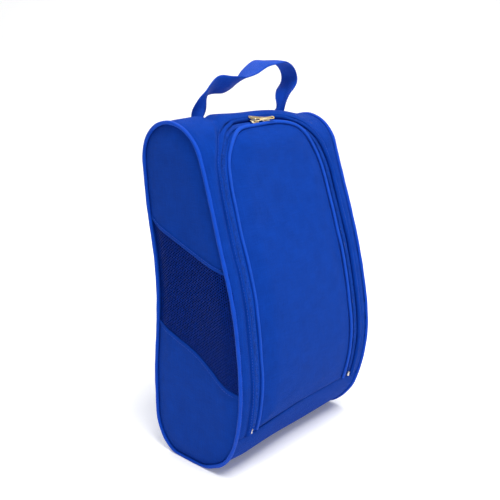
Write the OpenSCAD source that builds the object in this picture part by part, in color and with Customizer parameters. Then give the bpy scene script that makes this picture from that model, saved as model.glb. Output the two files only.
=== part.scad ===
// Golf shoe bag: a leaning fabric case with a zipped front door, mesh side vents and a top handle.
// Row frame: X to the wearer's right, -Y out of the door, +Z up, origin on the ground under the middle.
// The bag is ruled along X: every wall follows one closed side outline, measured by its arc length s.
// on_bag(x, s, h) gives the point at width x and outline length s, h outside the wall's outer face.

/* [Side outline] */
// Radius of the heel, where the back turns under
heel_r = 50; // [40:1:56]
// Radius of the toe, where the bottom turns up to the front
toe_r = 78; // [70:1:84]
// Angle that the toe turns through
toe_turn = 70; // [66:1:74]
// Radius of the front just above the toe
shin_r = 230; // [210:5:250]
// Radius of the front where it starts to lean back
belly_r = 376; // [350:2:400]
// Lean of the upper front from upright
lean = 17; // [16:0.5:18]
// Radius over the crest
crest_r = 44; // [40:1:46]
// Depth of the hollow along the back
back_bow = 14; // [4:1:18]
// Height that the soft base gives up where it rests flat
base_cut = 4.5; // [3:0.5:6]

/* [Walls] */
// Width between the outer faces of the two side walls
bag_w = 216; // [205:1:230]
// Thickness of the foam-backed wall cloth
wall = 2; // [1.6:0.1:2.4]
// Thickness of the vent mesh
mesh_t = 1; // [0.8:0.1:1.2]
// Radius of the piping along both side outlines
piping_r = 2.3; // [2:0.1:2.5]
// Outline length from the base to the door's bottom seam
door_seam_s = 104.5; // [100:0.5:110]
// Outline length to the seam behind the crest
top_seam_s = 472; // [468:1:478]
// Outline length to the seam low on the back
back_seam_s = 781; // [770:1:790]
// Height of the vent's top edge at the back of the bag
vent_top_back = 275; // [265:1:285]
// Height of the vent's top edge at the front
vent_top_front = 225; // [215:1:232]
// Height of the vent's bottom edge at the back
vent_low_back = 165; // [155:1:175]
// Height of the vent's bottom edge at the front
vent_low_front = 105; // [98:1:112]

/* [Door and zip] */
// Half width of the zip track, and height of its arch
track_w = 84; // [82:0.5:85]
// Roundness of the arch: 1 is a half circle, and less has squarer shoulders
arch_power = 0.7; // [0.66:0.01:0.8]
// Outline length to the centre of the arch
arch_s = 353; // [348:1:356]
// Radius of the piping round the door
door_piping_r = 1.8; // [1.5:0.1:1.9]
// Half width of the line that the door piping follows
door_piping_w = 76; // [75.5:0.1:76.2]
// Height of the raised lip outside the zip
lip_h = 3.5; // [3:0.1:3.8]
// Distance between each slider's middle and the middle of the arch
slider_x = 8.5; // [8:0.1:9]

/* [Pull tabs] */
// Length of a pull tab from its pin to its end
tab_len = 23; // [20:1:25]
// Width of a pull tab
tab_w = 4.2; // [4:0.1:4.4]
// Angle between the two tabs and the top of the arch, so that they lie side by side
tab_lie = 16; // [15.5:0.5:18]
// Tilt of the left tab off the wall
left_tab_tilt = 14; // [8:1:16]

/* [Handle] */
// Width of the handle webbing
strap_w = 25; // [22:1:28]
// Thickness of the handle webbing
strap_t = 1.8; // [1.5:0.1:2.2]

/* [Hidden] */

cloth_blue = [0.10, 0.24, 0.66];
trim_blue = [0.16, 0.36, 0.86];
mesh_blue = [0.04, 0.10, 0.36];
zip_blue = [0.07, 0.19, 0.55];
metal = [0.78, 0.72, 0.56];

slack = 0.1;                 // gap between two sewn pieces of one body
run_gap = 0.4;               // gap between the door and the bag at the bottom seam
coil_gap = 0.15;             // half the gap between the two halves of the zip coil
coil_w = 3;                  // width of one half of the coil
coil_low = -0.4;             // the coil sits on its tape from here
coil_top = 1.2;              // to here
tape_low = -1.6;
tape_top = -0.5;
lip_w = 3.5;                 // width of the raised lip
lip_in = track_w + 5;        // inner edge of the lip
gusset_in = track_w + 7;     // inner edge of the cloth that frames the door
step_s = 5;                  // spacing of the points along the outline
big = 1000;

// ---- side outline: a chain of arcs and one straight, turned through 360 degrees in all ----
depth = heel_r + toe_r * sin(toe_turn) + shin_r * (1 - sin(toe_turn));
lean_len = (depth - belly_r * (1 - cos(lean)) - crest_r * (1 + cos(lean))) / sin(lean);
back_top = toe_r * (1 - cos(toe_turn)) + shin_r * cos(toe_turn) + belly_r * sin(lean)
  + lean_len * cos(lean) - crest_r * sin(lean);
back_drop = back_top - heel_r;
bow_turn = 2 * atan(2 * back_bow / back_drop);
bow_r = back_drop / (4 * sin(bow_turn));

// A piece of the chain is [length, turn]; a place on it is [forward, height, heading]
function arc(r, turn) = [r * abs(turn) * PI / 180, turn];
chain = [
  arc(toe_r, toe_turn), arc(shin_r, 90 - toe_turn), arc(belly_r, lean), [lean_len, 0],
  arc(crest_r, 180 - lean), arc(bow_r, bow_turn), arc(bow_r, -2 * bow_turn),
  arc(bow_r, bow_turn), arc(heel_r, 90)
];
function along(p, piece, d) =
  piece[1] == 0 ? [p.x + d * cos(p.z), p.y + d * sin(p.z), p.z] :
  let (r = piece[0] * 180 / (PI * piece[1]), b = p.z + piece[1] * d / piece[0])
  [p.x + r * (sin(b) - sin(p.z)), p.y - r * (cos(b) - cos(p.z)), b];
starts = [for (i = 0, p = [heel_r, 0, 0]; i <= len(chain);
               p = i < len(chain) ? along(p, chain[i], chain[i][0]) : p, i = i + 1) p];
lengths = [for (i = 0, t = 0; i <= len(chain);
                t = i < len(chain) ? t + chain[i][0] : t, i = i + 1) t];
girth = lengths[len(chain)];
function wrap(s) = s - girth * floor(s / girth);
function place(s) =
  let (w = wrap(s), i = max([for (k = [0:len(chain) - 1]) if (w >= lengths[k]) k]))
  along(starts[i], chain[i], w - lengths[i]);

// The middle of the bag's depth, with the zip lip in front and the piping behind
mid_u = (depth + lip_h - piping_r) / 2;
// Point of the outline in the side plane [y, z], h outside the wall, flattened where it rests
function edge(s, h) =
  let (p = place(s))
  [mid_u - p.x - h * sin(p.z), max(p.y - h * cos(p.z) - base_cut, max(-h, 0))];
function on_bag(x, s, h) = let (e = edge(s, h)) [x, e.x, e.y];

function spread(a, b, n) = [for (i = [0:n]) a + (b - a) * i / n];
function stations(a, b) = spread(a, b, ceil((b - a) / step_s));

// ---- solids from rings of points ----
module skin(rings, closed = false) {
  n = len(rings[0]);
  m = len(rings);
  last = closed ? m - 1 : m - 2;
  sides = [for (i = [0:last], j = [0:n - 1])
    let (row = i * n, next = ((i + 1) % m) * n, k = (j + 1) % n)
    each [[row + j, row + k, next + k], [row + j, next + k, next + j]]];
  caps = closed ? [] : [[for (j = [n - 1:-1:0]) j], [for (j = [0:n - 1]) (m - 1) * n + j]];
  polyhedron(points = [for (r = rings) each r], faces = concat(sides, caps));
}

// A wall panel across the whole width, between two places on the outline
module across(s_from, s_to, h_in, h_out, half_w) {
  outer = [for (s = stations(s_from, s_to)) edge(s, h_out)];
  inner = [for (s = stations(s_from, s_to)) edge(s, h_in)];
  n = len(inner);
  rotate([90, 0, 90])
    linear_extrude(height = 2 * half_w, center = true)
      polygon(concat(outer, [for (i = [n - 1:-1:0]) inner[i]]));
}

// ---- the arch that the door, zip and lip follow ----
panel_half = bag_w / 2 - piping_r - slack;
corner_a = atan2(top_seam_s - arch_s, panel_half);
side_steps = 26;             // points up each side of the arch
shoulder_steps = 16;         // points from there to each top corner
crown_steps = 12;            // points between the two top corners
// Angles round the arch's centre from the right side to the left, evenly spaced along the panels' edges
shoulder = [for (s = spread(arch_s, top_seam_s, shoulder_steps)) atan2(s - arch_s, panel_half)];
half_turn = concat([for (i = [1:shoulder_steps]) shoulder[i]],
                   [for (i = [1:crown_steps - 1]) corner_a + i * (180 - 2 * corner_a) / crown_steps],
                   [for (i = [shoulder_steps:-1:1]) 180 - shoulder[i]]);
arch_angles = [for (i = [len(half_turn) - 1:-1:0]) half_turn[i]];
// Point of the arch at angle a, for a half width of 1
function lobe(a) = [sign(cos(a)) * pow(abs(cos(a)), arch_power), pow(abs(sin(a)), arch_power)];
function on_arch(w, a) = [w * lobe(a).x, arch_s + w * lobe(a).y];
function track(w, s_from) = concat(
  [for (s = spread(s_from, arch_s, side_steps)) [-w, s]],
  [for (a = arch_angles) on_arch(w, a)],
  [for (s = spread(arch_s, s_from, side_steps)) [w, s]]);
// A strip along the arch, from half width w1 to w2 and from height h1 to h2
module strip(w1, w2, h1, h2, s_from) {
  a = track(w1, s_from);
  b = track(w2, s_from);
  skin([for (i = [0:len(a) - 1])
    [on_bag(a[i].x, a[i].y, h1), on_bag(a[i].x, a[i].y, h2),
     on_bag(b[i].x, b[i].y, h2), on_bag(b[i].x, b[i].y, h1)]]);
}
// A round cord along the arch
module arch_cord(w, h, r, s_from) {
  skin([for (i = [0:len(track(w, s_from)) - 1])
    [for (k = [0:7])
      let (q = track(w - r * cos(45 * k), s_from)[i])
      on_bag(q.x, q.y, h + r * sin(45 * k))]]);
}

// ---- side walls ----
side_in = piping_r + slack;
module side_outline() {
  polygon([for (s = stations(0, girth - step_s)) edge(s, -side_in)]);
}
module side_part(sign, thick, low_back, low_front, top_back, top_front) {
  back_y = mid_u;
  front_y = mid_u - depth;
  inset = (wall - thick) / 2;
  x0 = sign > 0 ? bag_w / 2 - wall + inset : -bag_w / 2 + inset;
  translate([x0, 0, 0])
    rotate([90, 0, 90])
      linear_extrude(height = thick)
        intersection() {
          side_outline();
          polygon([[back_y, low_back], [front_y, low_front], [front_y, top_front], [back_y, top_back]]);
        }
}
module side_upper(sign) {
  color(cloth_blue) side_part(sign, wall, vent_top_back, vent_top_front, big, big);
}
module side_mesh(sign) {
  color(mesh_blue) side_part(sign, mesh_t, vent_low_back, vent_low_front, vent_top_back, vent_top_front);
}
module side_lower(sign) {
  color(cloth_blue) side_part(sign, wall, -big, -big, vent_low_back, vent_low_front);
}
module side_panel_left_upper() { side_upper(-1); }
module side_mesh_left() { side_mesh(-1); }
module side_panel_left_lower() { side_lower(-1); }
module side_panel_right_upper() { side_upper(1); }
module side_mesh_right() { side_mesh(1); }
module side_panel_right_lower() { side_lower(1); }

// ---- piping and bindings along the two side outlines ----
function ring_stations(n) = [for (i = [0:n - 1]) girth * i / n];
module side_piping(sign) {
  color(trim_blue)
    skin([for (s = ring_stations(110))
      [for (k = [0:7]) let (a = sign * 45 * k, e = edge(s, piping_r * sin(a)))
        [sign * bag_w / 2 - piping_r * cos(a), e.x, e.y]]], closed = true);
}
binding_drop = 0.6;          // the bindings lie this far inside the wall's inner face
binding_h = 3;
binding_x = bag_w / 2 - wall - slack;
binding_size = 4;
module side_binding(sign) {
  high = -wall - binding_drop;
  low = high - binding_h;
  x_out = sign * binding_x;
  x_in = sign * (binding_x - binding_size);
  flip = sign > 0 ? [0, 1, 2, 3] : [3, 2, 1, 0];
  color(zip_blue)
    skin([for (s = ring_stations(120))
      let (ring = [on_bag(x_in, s, low), on_bag(x_in, s, high),
                   on_bag(x_out, s, high), on_bag(x_out, s, low)])
      [for (k = flip) ring[k]]], closed = true);
}
module piping_left() { side_piping(-1); }
module piping_right() { side_piping(1); }
module seam_binding_left() { side_binding(-1); }
module seam_binding_right() { side_binding(1); }

// ---- cloth round the bag ----
module back_panel() {
  color(cloth_blue) across(top_seam_s, back_seam_s, -wall, 0, panel_half);
}
module bottom_panel() {
  color(cloth_blue) across(back_seam_s - girth, door_seam_s, -wall, 0, panel_half);
}
// The cloth that frames the door: up both sides of the arch and over to the top seam
function frame_outer(a) =
  a < corner_a ? [panel_half, arch_s + panel_half * tan(a)] :
  a > 180 - corner_a ? [-panel_half, arch_s - panel_half * tan(a)] :
  [(top_seam_s - arch_s) / tan(a), top_seam_s];
frame_steps = 8;             // points from the frame's inner edge to its outer edge
module front_gusset() {
  inner = track(gusset_in, door_seam_s);
  outer = concat(
    [for (s = spread(door_seam_s, arch_s, side_steps)) [-panel_half, s]],
    [for (a = arch_angles) frame_outer(a)],
    [for (s = spread(arch_s, door_seam_s, side_steps)) [panel_half, s]]);
  color(cloth_blue)
    skin([for (i = [0:len(inner) - 1])
      let (row = [for (t = spread(0, 1, frame_steps)) inner[i] + t * (outer[i] - inner[i])])
      concat([for (q = row) on_bag(q.x, q.y, 0)],
             [for (k = [len(row) - 1:-1:0]) on_bag(row[k].x, row[k].y, -wall)])]);
}

// ---- bound seam allowances inside ----
fin_depth = 8;
fin_t = 2;
fin_gap = 1.5;               // from the end of a fin to the side binding
fin_half = binding_x - binding_size - fin_gap;
module seam_fin(s_from) {
  color(zip_blue) across(s_from, s_from + fin_t, -wall - slack - fin_depth, -wall - slack, fin_half);
}
module top_seam_binding() { seam_fin(top_seam_s - fin_t / 2); }
module door_seam_binding() { seam_fin(door_seam_s - fin_t - slack); }
module back_seam_binding() { seam_fin(back_seam_s - fin_t / 2); }

// ---- zip ----
zip_from = door_seam_s + 8;  // the coil starts here, above the stops
tape_gap = 0.6;              // half the gap between the two tapes
module zip_tape_outer() {
  color(zip_blue) strip(track_w + tape_gap, gusset_in - slack, tape_low, tape_top, door_seam_s + slack);
}
module zip_coil_outer() {
  color(zip_blue) strip(track_w + coil_gap, track_w + coil_w, coil_low, coil_top, zip_from);
}
module zip_lip() {
  color(trim_blue) strip(lip_in, lip_in + lip_w, 0, lip_h, door_seam_s + 1);
}
stop_len = 5;
stop_from = zip_from - 1 - stop_len;
stop_top = coil_top + 0.6;
module zip_stop(sign) {
  x1 = sign * (track_w + 2 * coil_gap);
  x2 = sign * (track_w + coil_w + 0.5);
  flip = sign > 0 ? [0, 1, 2, 3] : [3, 2, 1, 0];
  color(metal)
    skin([for (s = [stop_from + stop_len, stop_from])
      let (ring = [on_bag(x1, s, coil_low), on_bag(x1, s, stop_top),
                   on_bag(x2, s, stop_top), on_bag(x2, s, coil_low)])
      [for (k = flip) ring[k]]]);
}
module zip_stop_left() { zip_stop(-1); }
module zip_stop_right() { zip_stop(1); }

// ---- door ----
door_w = door_piping_w - door_piping_r - slack;
door_from = door_seam_s + run_gap;
module door_panel() {
  rows = concat([for (s = spread(door_from, arch_s, 40)) [door_w, s]],
                [for (a = [2, 5, 10, 16, 24, 32, 40, 48, 56, 63, 70, 76, 81, 85, 88, 89.3]) on_arch(door_w, a)]);
  color(cloth_blue)
    skin([for (q = rows)
      [on_bag(-q.x, q.y, -wall), on_bag(-q.x, q.y, 0), on_bag(q.x, q.y, 0), on_bag(q.x, q.y, -wall)]]);
}
module door_piping() {
  color(trim_blue) arch_cord(door_piping_w, 0, door_piping_r, door_seam_s + 3);
}
// The door's half of the zip is left out where the sliders' posts stand between the two halves
post_y = -2;                 // door side of the post
post_w = 0.9;
post_len = 3;
post_x = -3;                 // middle of the post along the track, towards the middle of the arch
post_room = 0.6;             // room round a post in the door's half of the zip
module post_gaps(low, high) {
  for (sign = [-1, 1])
    at_slider(sign)
      translate([sign * post_x - post_len / 2 - post_room, post_y - post_room, low])
        cube([post_len + 2 * post_room, post_room - post_y + coil_w / 2, high - low]);
}
module zip_tape_inner() {
  color(zip_blue)
    difference() {
      strip(door_piping_w + door_piping_r + slack, track_w - tape_gap, tape_low, tape_top, door_from);
      post_gaps(tape_low - 1, tape_top + 1);
    }
}
module zip_coil_inner() {
  color(zip_blue)
    difference() {
      strip(track_w - coil_w, track_w - coil_gap, coil_low, coil_top, zip_from);
      post_gaps(coil_low - 1, coil_top + 1);
    }
}

// ---- sliders, head to head at the top of the arch ----
// Each slider's frame: x along the track, y out of the door, z off the wall
arch_n = 2 / arch_power;
slider_rise = pow(pow(track_w, arch_n) - pow(slider_x, arch_n), 1 / arch_n);
slider_a = atan(pow(slider_x / slider_rise, arch_n - 1));
slider_s = arch_s + slider_rise;
module at_slider(sign) {
  p = on_bag(sign * slider_x, slider_s, 0);
  translate(p)
    rotate([180 - place(slider_s).z, 0, 0])
      rotate([0, 0, -sign * slider_a])
        children();
}
plate_len = 11;
plate_w = 8;
plate_t = 1.2;
plate_low = 2.4;
under_top = -2.9;
pin_z = 5.2;
pin_r = 0.55;
crown_len = 3.4;
crown_w = 1.2;
crown_top = 7;
crown_t = 0.6;
module plate_shape() {
  nose = plate_w / 2;
  square([plate_len - 2 * nose, plate_w], center = true);
  for (sign = [-1, 1])
    translate([sign * (plate_len / 2 - nose), 0])
      circle(r = nose, $fn = 48);
}
module slider_body(sign) {
  color(metal)
    at_slider(sign)
      union() {
        translate([0, 0, plate_low]) linear_extrude(height = plate_t) plate_shape();
        translate([0, 0, under_top - plate_t]) linear_extrude(height = plate_t) plate_shape();
        translate([sign * post_x - post_len / 2, post_y, under_top - plate_t / 2])
          cube([post_len, post_w, plate_low - under_top + plate_t]);
        difference() {
          translate([-crown_len / 2, -crown_w / 2, plate_low + plate_t / 2])
            cube([crown_len, crown_w, crown_top - plate_low - plate_t / 2]);
          translate([-crown_len / 2 + crown_t, -crown_w, plate_low + plate_t])
            cube([crown_len - 2 * crown_t, 2 * crown_w, crown_top - plate_low - plate_t - crown_t]);
        }
      }
}
module zip_slider_left() { slider_body(-1); }
module zip_slider_right() { slider_body(1); }

// ---- pull tabs: a pin through the slider's crown, two arms and a flat tab with a round hole ----
tab_t = 1;
arm_in = 1.3;
arm_len = 5;
hole_r = 1.1;
hole_in = 0.5;               // the hole sits this far inside the round end's centre
module pull_shape() {
  pin_half = tab_w / 2;
  rotate([90, 0, 0]) cylinder(h = 2 * pin_half, r = pin_r, center = true, $fn = 24);
  for (side = [-1, 1])
    translate([0, side > 0 ? arm_in : -pin_half, -tab_t / 2])
      cube([arm_len + tab_t / 2, pin_half - arm_in, tab_t]);
  translate([0, 0, -tab_t / 2])
    linear_extrude(height = tab_t)
      difference() {
        union() {
          translate([arm_len, -tab_w / 2]) square([tab_len - arm_len - tab_w / 2, tab_w]);
          translate([tab_len - tab_w / 2, 0]) circle(d = tab_w, $fn = 48);
        }
        translate([tab_len - tab_w / 2 - hole_in, 0]) circle(r = hole_r, $fn = 32);
      }
}
// The left tab lies to the right, past the door side of the right slider
module pull_tab_left() {
  color(metal)
    at_slider(-1)
      translate([0, 0, pin_z])
        rotate([0, 0, -tab_lie - slider_a])
          rotate([0, -left_tab_tilt, 0])
            pull_shape();
}
// The right tab lies to the left, behind the left slider
module pull_tab_right() {
  color(metal)
    at_slider(1)
      translate([0, 0, pin_z])
        rotate([0, 0, 180 - tab_lie + slider_a])
          pull_shape();
}

// ---- handle: one strip of webbing, sewn in across the top seam and folded over once along its loop ----
seam_y = edge(top_seam_s, 0).x;
seam_z = edge(top_seam_s, 0).y;
// The loop's middle, chosen by hand: [x, height above the seam, and the direction of the webbing's width]
strap_route = [
  [-56, 2, 0.99, 0.12, 0], [-55, 5.5, 0.93, 0.36, 0], [-53, 10, 0.80, 0.60, 0], [-48, 19, 0.69, 0.72, 0],
  [-39, 27, 0.50, 0.70, -0.50], [-28, 31, 0.20, 0.55, -0.80], [-14, 30, 0.10, 0.60, -0.75],
  [0, 31.5, 0, 0.80, -0.60], [8, 34, 0, 0.92, -0.39], [22, 42, 0, 1, 0.10], [40, 50.5, 0, 0.98, 0.22],
  [56, 51.5, 0, 1, 0.10], [72, 51, 0, 1, 0], [85, 43, 0, 1, 0], [90, 31, 0, 1, 0], [85, 19, -0.10, 0.99, 0],
  [75, 10, -0.60, 0.78, 0], [70, 5.5, -0.93, 0.36, 0], [68, 2, -0.99, 0.12, 0]
];
strap_last = len(strap_route) - 1;
strap_parts = 3;             // rings to each step of the route
// Smooth curve through the route's points
function bend(a, b, c, d, t) =
  0.5 * ((2 * b) + (c - a) * t + (2 * a - 5 * b + 4 * c - d) * t * t + (3 * b - a - 3 * c + d) * t * t * t);
function strap_at(i, t) = bend(strap_route[max(i - 1, 0)], strap_route[i], strap_route[i + 1],
                               strap_route[min(i + 2, strap_last)], t);
strap_line = concat([for (i = [0:strap_last - 1], k = [0:strap_parts - 1]) strap_at(i, k / strap_parts)],
                    [strap_route[strap_last]]);
function unit(v) = v / norm(v);
module handle_webbing() {
  n = len(strap_line) - 1;
  rings = [for (i = [0:n])
    let (q = strap_line[i],
         d = strap_line[min(i + 1, n)] - strap_line[max(i - 1, 0)],
         t = i == 0 || i == n ? [0, 0, i == 0 ? 1 : -1] : unit([d.x, 0, d.y]),
         w0 = [q[2], q[3], q[4]],
         w = unit(w0 - (w0 * t) * t),
         b = cross(t, w),
         c = [q.x, seam_y, seam_z + q.y])
    [for (k = [[-1, -1], [1, -1], [1, 1], [-1, 1]]) c + w * k.x * strap_w / 2 + b * k.y * strap_t / 2]];
  color(cloth_blue) skin(rings);
}
// The ends of the webbing, caught in the seam allowance inside the bag
end_depth = 12;
module handle_end(x) {
  s_from = top_seam_s + fin_t / 2 + slack;
  color(cloth_blue)
    translate([x, 0, 0])
      across(s_from, s_from + strap_t, -wall - slack - end_depth, -wall - slack, strap_w / 2);
}
module handle_end_left() { handle_end(strap_route[0].x); }
module handle_end_right() { handle_end(strap_route[strap_last].x); }

side_panel_left_upper();
side_mesh_left();
side_panel_left_lower();
side_panel_right_upper();
side_mesh_right();
side_panel_right_lower();
piping_left();
piping_right();
seam_binding_left();
seam_binding_right();
back_panel();
bottom_panel();
front_gusset();
top_seam_binding();
door_seam_binding();
back_seam_binding();
zip_tape_outer();
zip_coil_outer();
zip_lip();
zip_stop_left();
zip_stop_right();
handle_end_left();
handle_end_right();
door_panel();
door_piping();
zip_tape_inner();
zip_coil_inner();
zip_slider_left();
zip_slider_right();
pull_tab_left();
pull_tab_right();
handle_webbing();
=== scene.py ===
"""Golf shoe bag: cloth, zip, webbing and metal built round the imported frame. Metres, row frame."""

import math

import bmesh
import bpy
import numpy as np
from mathutils import Matrix, Vector
from mathutils.geometry import delaunay_2d_cdt


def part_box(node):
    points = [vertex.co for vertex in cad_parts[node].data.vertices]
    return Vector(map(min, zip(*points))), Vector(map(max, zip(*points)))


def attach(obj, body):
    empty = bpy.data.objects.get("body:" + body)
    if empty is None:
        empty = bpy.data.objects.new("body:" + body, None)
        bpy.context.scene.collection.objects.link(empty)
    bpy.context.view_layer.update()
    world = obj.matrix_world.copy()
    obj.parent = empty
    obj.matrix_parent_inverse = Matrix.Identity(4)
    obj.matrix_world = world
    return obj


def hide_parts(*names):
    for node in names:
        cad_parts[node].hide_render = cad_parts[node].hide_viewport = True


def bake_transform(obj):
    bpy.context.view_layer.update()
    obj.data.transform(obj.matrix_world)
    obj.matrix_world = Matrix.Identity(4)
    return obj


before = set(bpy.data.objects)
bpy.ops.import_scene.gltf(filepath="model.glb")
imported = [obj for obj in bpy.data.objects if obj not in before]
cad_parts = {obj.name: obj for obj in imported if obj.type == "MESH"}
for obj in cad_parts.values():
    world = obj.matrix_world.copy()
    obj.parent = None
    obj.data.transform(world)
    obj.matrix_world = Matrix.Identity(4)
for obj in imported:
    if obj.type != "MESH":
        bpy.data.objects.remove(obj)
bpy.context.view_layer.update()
scene = bpy.context.scene
MM = 0.001

# ---------------------------------------------------------------- the bag's sizes
# The side outline's arcs, as in the part's source
HEEL_R, TOE_R, SHIN_R, BELLY_R, CREST_R = 50 * MM, 78 * MM, 230 * MM, 376 * MM, 44 * MM
TOE_TURN, LEAN = 70, 17
BACK_BOW, BASE_CUT = 14 * MM, 4.5 * MM
# Places along the outline, and half widths of what follows the arch
DOOR_SEAM, TOP_SEAM, BACK_SEAM, ARCH = 104.5 * MM, 472 * MM, 781 * MM, 353 * MM
TRACK_W, DOOR_PIPING_W, LIP_IN, LIP_OUT = 84 * MM, 76 * MM, 88.3 * MM, 93.6 * MM
ARCH_N = 2 / 0.7             # 2 is a half circle, and more has squarer shoulders
# Sizes from the frame
PIPING_R = (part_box("piping_right")[1].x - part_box("piping_right")[0].x) / 2
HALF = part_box("side_panel_right_upper")[1].x
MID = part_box("piping_left")[1].y - PIPING_R


def sin(a):
    return math.sin(math.radians(a))


def cos(a):
    return math.cos(math.radians(a))


def smooth(t):
    t = np.clip(t, 0, 1)
    return t * t * (3 - 2 * t)


# ---------------------------------------------------------------- the side outline
DEPTH = HEEL_R + TOE_R * sin(TOE_TURN) + SHIN_R * (1 - sin(TOE_TURN))
LEAN_LEN = (DEPTH - BELLY_R * (1 - cos(LEAN)) - CREST_R * (1 + cos(LEAN))) / sin(LEAN)
BACK_TOP = (TOE_R * (1 - cos(TOE_TURN)) + SHIN_R * cos(TOE_TURN) + BELLY_R * sin(LEAN)
            + LEAN_LEN * cos(LEAN) - CREST_R * sin(LEAN))
BACK_DROP = BACK_TOP - HEEL_R
BOW_TURN = 2 * math.degrees(math.atan(2 * BACK_BOW / BACK_DROP))
BOW_R = BACK_DROP / (4 * sin(BOW_TURN))


def arc(radius, turn):
    return radius * math.radians(abs(turn)), turn


CHAIN = [arc(TOE_R, TOE_TURN), arc(SHIN_R, 90 - TOE_TURN), arc(BELLY_R, LEAN), (LEAN_LEN, 0),
         arc(CREST_R, 180 - LEAN), arc(BOW_R, BOW_TURN), arc(BOW_R, -2 * BOW_TURN), arc(BOW_R, BOW_TURN),
         arc(HEEL_R, 90)]


def along(p, length, turn, d):
    u, v, a = p
    if turn == 0:
        return u + d * cos(a), v + d * sin(a), a
    r = length / math.radians(turn)
    b = a + turn * d / length
    return u + r * (sin(b) - sin(a)), v - r * (cos(b) - cos(a)), b


def outline_table(step=0.5 * MM):
    p, s, rows = (HEEL_R, 0.0, 0.0), 0.0, []
    for length, turn in CHAIN:
        n = max(2, int(length / step))
        rows += [(s + length * k / n, *along(p, length, turn, length * k / n)) for k in range(n)]
        p = along(p, length, turn, length)
        s += length
    rows.append((s, *p))
    return np.array(rows), s


OUTLINE, GIRTH = outline_table()


def outline(s):
    w = np.mod(s, GIRTH)
    return [np.interp(w, OUTLINE[:, 0], OUTLINE[:, k]) for k in (1, 2, 3)]


def place(x, s, h=0.0):
    """Point at width x and outline length s, h outside the wall. The base is pressed flat with soft ends."""
    x, s, h = np.broadcast_arrays(np.asarray(x, float), np.asarray(s, float), np.asarray(h, float))
    u, v, a = outline(s)
    a = np.radians(a)
    free = v - h * np.cos(a) - BASE_CUT
    rest = np.maximum(-h, 0)
    z = 0.5 * (free + rest + np.sqrt((free - rest) ** 2 + (2.6 * MM) ** 2))
    return np.stack([x, MID - u - h * np.sin(a), z], -1)


SLUMP = 9 * MM               # drop of the crest at the right-hand side
SLIDER_X = 8.5 * MM          # each slider's distance from the middle of the arch


def soften(p):
    """The slump and slow waves that all sewn pieces share, so that their seams stay closed."""
    p = np.array(p, float)
    x, y, z = p[..., 0], p[..., 1], p[..., 2]
    side = np.clip((x / HALF + 1) / 2, 0, 1)
    high = smooth((z - 0.20) / 0.17)
    lift = smooth(z / 0.06)
    q = p.copy()
    sag = 2.6 * MM * np.exp(-((x + 0.012) / 0.032) ** 2) + 4.0 * MM * smooth((x - 0.05) / 0.045)
    q[..., 2] -= (SLUMP * side ** 1.7 + sag) * high
    toe = smooth((-y - 0.015) / 0.035) * smooth(z / 0.012) * (1 - smooth((z - 0.05) / 0.09))
    tip = np.clip((x + 0.005) / 0.07, -1, 1)
    q[..., 2] += toe * MM * np.where(tip < 0, 5.2, 1.6) * tip
    q[..., 0] += lift * 1.0 * MM * np.sin(23 * z + 9 * y + 0.4)
    q[..., 1] += lift * (0.9 * MM * np.sin(19 * z + 21 * x + 1.1) + 0.5 * MM * np.sin(47 * z - 13 * x))
    q[..., 2] += high * 0.8 * MM * np.sin(38 * x + 2.0)
    return q


# ---------------------------------------------------------------- mesh helpers
def unit(v):
    return v / np.linalg.norm(v, axis=-1, keepdims=True)


def run_length(points):
    """Distance along a line of points, from its first."""
    return np.concatenate([[0], np.cumsum(np.linalg.norm(np.diff(points, axis=0), axis=1))])


def uv_grid(along_way, across):
    return np.stack(np.meshgrid(along_way, across, indexing="ij"), -1)


def mesh_piece(name, verts, faces, loop_uv):
    mesh = bpy.data.meshes.new(name)
    mesh.from_pydata([tuple(v) for v in np.asarray(verts, float).reshape(-1, 3)], [], faces)
    mesh.validate()
    layer = mesh.uv_layers.new(name="UVMap")
    layer.data.foreach_set("uv", np.asarray(loop_uv, np.float32).ravel())
    mesh.polygons.foreach_set("use_smooth", np.ones(len(mesh.polygons), bool))
    obj = bpy.data.objects.new(name, mesh)
    scene.collection.objects.link(obj)
    return obj


def grid_piece(name, pts, uv, closed_rows=False, closed_cols=False, caps=False):
    """A quad grid from pts[i, j], and a solid where its columns are closed.

    uv has one more row or column where the grid is closed."""
    n, m = pts.shape[:2]
    faces, loops = [], []
    for i in range(n if closed_rows else n - 1):
        for j in range(m if closed_cols else m - 1):
            ring = [(i, j), (i + 1, j), (i + 1, j + 1), (i, j + 1)]
            faces.append([(a % n) * m + b % m for a, b in ring])
            loops += [uv[a, b] for a, b in ring]
    if caps:
        first = list(range(m))
        last = [(n - 1) * m + k for k in range(m)][::-1]
        for cap, i in ((first, 0), (last, n - 1)):
            faces.append(cap)
            loops += [uv[i, k % m] for k in cap]
    obj = mesh_piece(name, pts, faces, loops)
    if closed_cols:
        face_out_closed(obj)
    return obj


def ring_faces(rings, n, base=0):
    """Quads between rings of n points that follow each other from index base, and a cap at each end."""
    faces = []
    for i in range(base, base + (rings - 1) * n, n):
        faces += [[i + k, i + (k + 1) % n, i + n + (k + 1) % n, i + n + k] for k in range(n)]
    first = [base + k for k in range(n)]
    return [*faces, first[::-1], [(rings - 1) * n + k for k in first]]


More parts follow.
